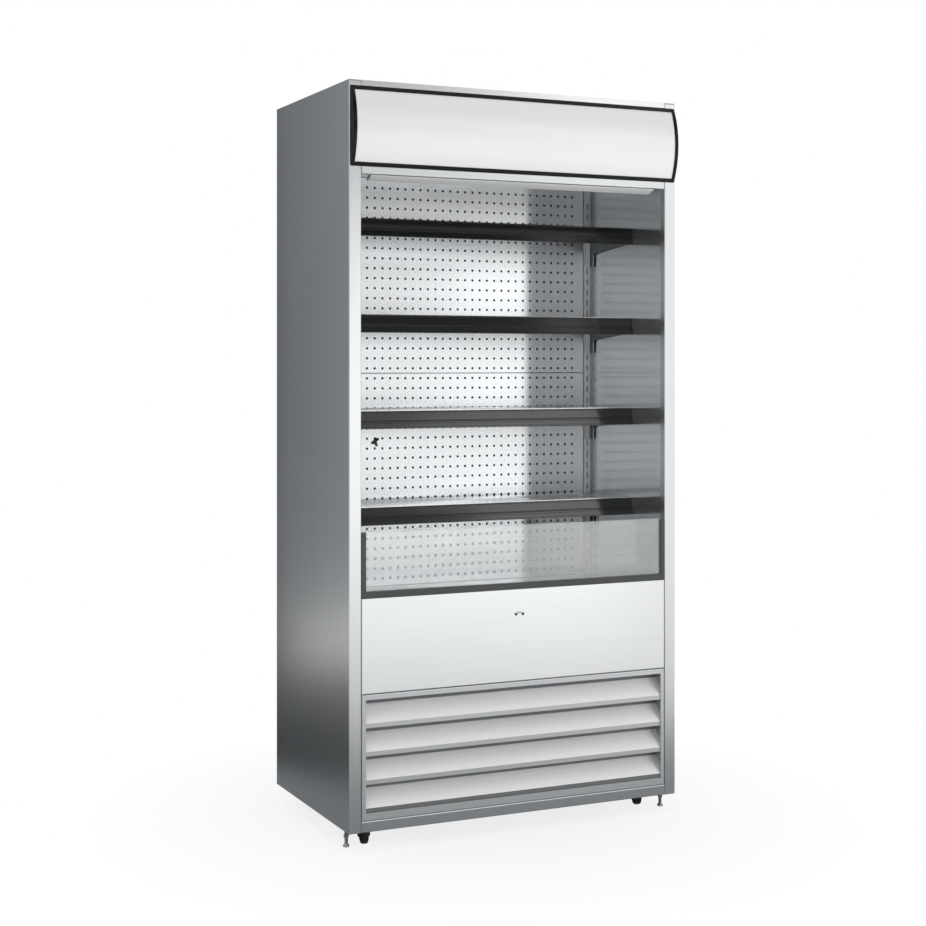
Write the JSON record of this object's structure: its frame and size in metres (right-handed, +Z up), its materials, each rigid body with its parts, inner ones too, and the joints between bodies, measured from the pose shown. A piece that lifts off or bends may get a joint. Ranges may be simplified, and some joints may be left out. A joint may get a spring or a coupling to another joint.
{
  "type": "open multideck display fridge",
  "caption": "Open-fronted stainless display fridge with leaning price strips on hooked shelves, lit curved canopy, glass guard, louvre grille, night blind, castors and feet.",
  "frame": {"origin": "on the floor under the middle of the cabinet's bounding box", "axes": "+X across to the right-hand side seen from the front, +Y from the front to the back, +Z up"},
  "size_m": [1, 0.615, 2.028],
  "materials": {
    "brushed_stainless": "satin, brushed grain",
    "polished_liner": "bright, nearly mirror",
    "galvanised_sheet": "grey, matt",
    "black_gloss": "gloss",
    "black_gasket": "satin",
    "opal_acrylic": "translucent white",
    "drain_tub": "moulded",
    "chrome_wire": "polished",
    "zinc_plated": "bright zinc",
    "clear_glass": "clear, polished edge",
    "black_enamel": "semi-gloss",
    "castor_rubber": "matt",
    "bare_aluminium": "satin",
    "coated_cloth": "coated, smooth"
  },
  "bodies": {
    "cabinet": {"left_side_panel": "brushed_stainless", "right_side_panel": "brushed_stainless", "left_side_liner": "polished_liner", "right_side_liner": "polished_liner", "left_upright": "polished_liner", "right_upright": "polished_liner", "roof_panel": "brushed_stainless", "rear_panel": "galvanised_sheet", "rear_wall": "galvanised_sheet", "insulated_floor": "drain_tub", "header_panel": "brushed_stainless", "canopy_diffuser": "opal_acrylic", "canopy_top_trim": "black_gloss", "canopy_bottom_trim": "black_gloss", "canopy_end_left": "black_gloss", "canopy_end_right": "black_gloss", "canopy_lamp": "opal_acrylic", "front_panel": "brushed_stainless", "blind_catch": "chrome_wire", "louvre_grille": "brushed_stainless", "glass_channel": "black_gasket", "glass_guard": "clear_glass", "ceiling_panel": "polished_liner", "lower_back_panel": "polished_liner", "upper_back_panel": "polished_liner", "bottom_deck": "polished_liner", "base_frame": "galvanised_sheet", "condenser_coil": "bare_aluminium", "fan_shroud": "galvanised_sheet", "compressor": "black_enamel", "evaporator_coil": "bare_aluminium", "shelf_bracket_left_1": "brushed_stainless", "shelf_bracket_right_1": "brushed_stainless", "shelf_bracket_left_2": "brushed_stainless", "shelf_bracket_right_2": "brushed_stainless", "shelf_bracket_left_3": "brushed_stainless", "shelf_bracket_right_3": "brushed_stainless", "shelf_bracket_left_4": "brushed_stainless", "shelf_bracket_right_4": "brushed_stainless"},
    "shelf_1": {"shelf_tray_1": "polished_liner", "price_strip_1": "black_gloss"},
    "shelf_2": {"shelf_tray_2": "polished_liner", "price_strip_2": "black_gloss"},
    "shelf_3": {"shelf_tray_3": "polished_liner", "price_strip_3": "black_gloss"},
    "shelf_4": {"shelf_tray_4": "polished_liner", "price_strip_4": "black_gloss"},
    "blind_pull_bar": {"blind_bar": "bare_aluminium", "blind_fabric": "coated_cloth"},
    "blind_roll": {"blind_roller": "coated_cloth"},
    "condenser_rotor": {"condenser_fan": "bare_aluminium"},
    "evaporator_rotor": {"evaporator_fan": "black_gasket"},
    "front_fork_left": {"front_castor_fork_left": "black_enamel"},
    "front_wheel_left": {"front_castor_wheel_left": "castor_rubber"},
    "rear_wheel_left": {"rear_castor_wheel_left": "castor_rubber"},
    "foot_left": {"levelling_foot_left": "zinc_plated"},
    "front_fork_right": {"front_castor_fork_right": "black_enamel"},
    "front_wheel_right": {"front_castor_wheel_right": "castor_rubber"},
    "rear_wheel_right": {"rear_castor_wheel_right": "castor_rubber"},
    "foot_right": {"levelling_foot_right": "zinc_plated"}
  },
  "joints": [
    {"name": "shelf_1_lift", "type": "slide", "parent": "cabinet", "child": "shelf_1", "axis": [0, 0, 1], "range_m": [0, 0.06]},
    {"name": "shelf_2_lift", "type": "slide", "parent": "cabinet", "child": "shelf_2", "axis": [0, 0, 1], "range_m": [0, 0.06]},
    {"name": "shelf_3_lift", "type": "slide", "parent": "cabinet", "child": "shelf_3", "axis": [0, 0, 1], "range_m": [0, 0.06]},
    {"name": "shelf_4_lift", "type": "slide", "parent": "cabinet", "child": "shelf_4", "axis": [0, 0, 1], "range_m": [0, 0.06]},
    {"name": "night_blind", "type": "slide", "parent": "cabinet", "child": "blind_pull_bar", "axis": [0, -0.0382, -0.9993], "range_m": [0, 1.16], "stiffness_N_per_m": 8, "springref_m": -1.5, "deforming": ["blind_fabric"]},
    {"name": "blind_roller_turn", "type": "hinge", "parent": "cabinet", "child": "blind_roll", "pos_m": [0, -0.2375, 1.813], "axis": [1, 0, 0], "range_deg": [0, 3985]},
    {"name": "condenser_fan_turn", "type": "hinge", "parent": "cabinet", "child": "condenser_rotor", "pos_m": [0.13, -0.1465, 0.2203], "axis": [0, 1, 0], "continuous": true},
    {"name": "evaporator_fan_turn", "type": "hinge", "parent": "cabinet", "child": "evaporator_rotor", "pos_m": [0, 0.0175, 0.5256], "axis": [0, 1, 0], "continuous": true},
    {"name": "front_castor_left_swivel", "type": "hinge", "parent": "cabinet", "child": "front_fork_left", "pos_m": [-0.43, -0.197, 0], "axis": [0, 0, 1], "continuous": true},
    {"name": "front_wheel_left_roll", "type": "hinge", "parent": "front_fork_left", "child": "front_wheel_left", "pos_m": [-0.43264, -0.21582, 0.025], "axis": [-0.9903, 0.1392, 0], "continuous": true},
    {"name": "front_castor_right_swivel", "type": "hinge", "parent": "cabinet", "child": "front_fork_right", "pos_m": [0.43, -0.197, 0], "axis": [0, 0, 1], "continuous": true},
    {"name": "front_wheel_right_roll", "type": "hinge", "parent": "front_fork_right", "child": "front_wheel_right", "pos_m": [0.43395, -0.17841, 0.025], "axis": [0.9781, -0.2079, 0], "continuous": true},
    {"name": "rear_wheel_left_roll", "type": "hinge", "parent": "cabinet", "child": "rear_wheel_left", "pos_m": [-0.43, 0.241, 0.025], "axis": [1, 0, 0], "continuous": true},
    {"name": "rear_wheel_right_roll", "type": "hinge", "parent": "cabinet", "child": "rear_wheel_right", "pos_m": [0.43, 0.241, 0.025], "axis": [1, 0, 0], "continuous": true},
    {"name": "levelling_foot_left_screw", "type": "slide", "parent": "cabinet", "child": "foot_left", "axis": [0, 0, 1], "range_m": [0, 0.02]},
    {"name": "levelling_foot_right_screw", "type": "slide", "parent": "cabinet", "child": "foot_right", "axis": [0, 0, 1], "range_m": [0, 0.02]}
  ],
  "couplings": [
    {"joint": "blind_roller_turn", "follows": "night_blind", "rad_per_m": 59.88}
  ]
}
